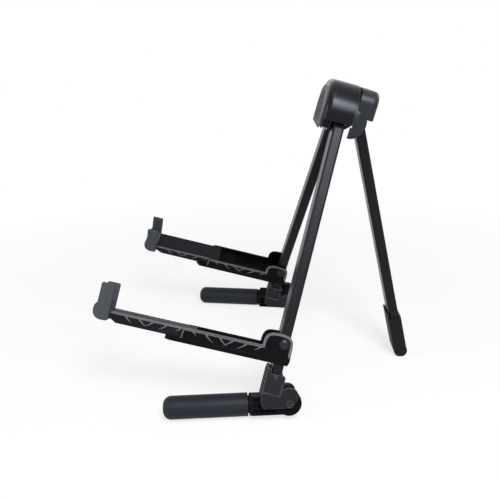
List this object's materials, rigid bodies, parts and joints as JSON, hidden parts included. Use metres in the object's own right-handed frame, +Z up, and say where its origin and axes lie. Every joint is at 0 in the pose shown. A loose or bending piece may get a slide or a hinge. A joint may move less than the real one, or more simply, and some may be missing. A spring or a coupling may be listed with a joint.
{
  "type": "folding guitar stand",
  "caption": "Folding A-frame guitar stand: splayed flat-tube legs, hinged rear leg, channel arms with sliding padded ends, swing-out feet and a padded head",
  "frame": {"origin": "on the floor, at the middle of the outline", "axes": "+X to the stand's right side, -Y to the front where the arms point, +Z up"},
  "size_m": [0.3458, 0.3671, 0.3512],
  "materials": {
    "moulded_black": "satin moulded black",
    "pad_rubber": "soft pale grey, fine dimples",
    "bare_steel": "zinc plated",
    "black_steel": "blackened",
    "tube_black": "gloss black powder coat",
    "dark_nylon": "fibre filled nylon",
    "boot_rubber": "matt black",
    "grip_rubber": "matt dark grey",
    "pale_ornament": "pale grey raised ornament",
    "slider_black": "smooth satin black",
    "stop_rubber": "soft mid grey"
  },
  "bodies": {
    "head": {"head_shell": "moulded_black", "front_pad": "pad_rubber", "pivot_plate": "black_steel", "rear_cover": "moulded_black", "cover_screws": "black_steel", "splay_pin_right": "bare_steel", "splay_pin_left": "bare_steel", "rear_hinge_pin": "black_steel"},
    "rear_leg": {"rear_leg": "tube_black", "rear_hinge_plug": "dark_nylon", "rear_boot": "boot_rubber"},
    "leg_right": {"front_leg_right": "tube_black", "hinge_plug_right": "dark_nylon", "foot_bracket_right": "moulded_black", "foot_pin_right": "black_steel", "bracket_rivet_right": "black_steel", "arm_bolt_right": "black_steel", "arm_nut_right": "bare_steel"},
    "foot_right": {"foot_arm_right": "dark_nylon", "foot_grip_right": "grip_rubber"},
    "arm_right": {"arm_channel_right": "moulded_black", "arm_trim_right": "pale_ornament"},
    "slider_right": {"arm_slider_right": "slider_black", "slider_trim_right": "pale_ornament", "end_stop_right": "stop_rubber"},
    "leg_left": {"front_leg_left": "tube_black", "hinge_plug_left": "dark_nylon", "foot_bracket_left": "moulded_black", "foot_pin_left": "black_steel", "bracket_rivet_left": "black_steel", "arm_bolt_left": "black_steel", "arm_nut_left": "bare_steel"},
    "foot_left": {"foot_arm_left": "dark_nylon", "foot_grip_left": "grip_rubber"},
    "arm_left": {"arm_channel_left": "moulded_black", "arm_trim_left": "pale_ornament"},
    "slider_left": {"arm_slider_left": "slider_black", "slider_trim_left": "pale_ornament", "end_stop_left": "stop_rubber"}
  },
  "joints": [
    {"name": "splay_hinge_right", "type": "hinge", "parent": "head", "child": "leg_right", "pos_m": [0.031, 0.08841, 0.31878], "axis": [0, 0.9636, -0.2672], "range_deg": [0, 19]},
    {"name": "splay_hinge_left", "type": "hinge", "parent": "head", "child": "leg_left", "pos_m": [-0.031, 0.08841, 0.31878], "axis": [0, -0.9636, 0.2672], "range_deg": [0, 19]},
    {"name": "rear_leg_hinge", "type": "hinge", "parent": "head", "child": "rear_leg", "pos_m": [0, 0.10715, 0.31151], "axis": [-1, 0, 0], "range_deg": [0, 28]},
    {"name": "arm_hinge_right", "type": "hinge", "parent": "leg_right", "child": "arm_right", "pos_m": [0.12556, 0.02083, 0.07508], "axis": [-0.9367, -0.0936, -0.3375], "range_deg": [0, 88]},
    {"name": "arm_hinge_left", "type": "hinge", "parent": "leg_left", "child": "arm_left", "pos_m": [-0.12556, 0.02083, 0.07508], "axis": [-0.9367, 0.0936, 0.3375], "range_deg": [0, 88]},
    {"name": "slider_slide_right", "type": "slide", "parent": "arm_right", "child": "slider_right", "axis": [-0.0092, 0.9699, -0.2435], "range_m": [0, 0.06]},
    {"name": "slider_slide_left", "type": "slide", "parent": "arm_left", "child": "slider_left", "axis": [0.0092, 0.9699, -0.2435], "range_m": [0, 0.06]},
    {"name": "foot_hinge_right", "type": "hinge", "parent": "leg_right", "child": "foot_right", "pos_m": [0.14674, 0.0263, 0.01475], "axis": [0.9367, 0.0936, 0.3375], "range_deg": [0, 253]},
    {"name": "foot_hinge_left", "type": "hinge", "parent": "leg_left", "child": "foot_left", "pos_m": [-0.14674, 0.0263, 0.01475], "axis": [0.9367, -0.0936, -0.3375], "range_deg": [0, 253]}
  ]
}
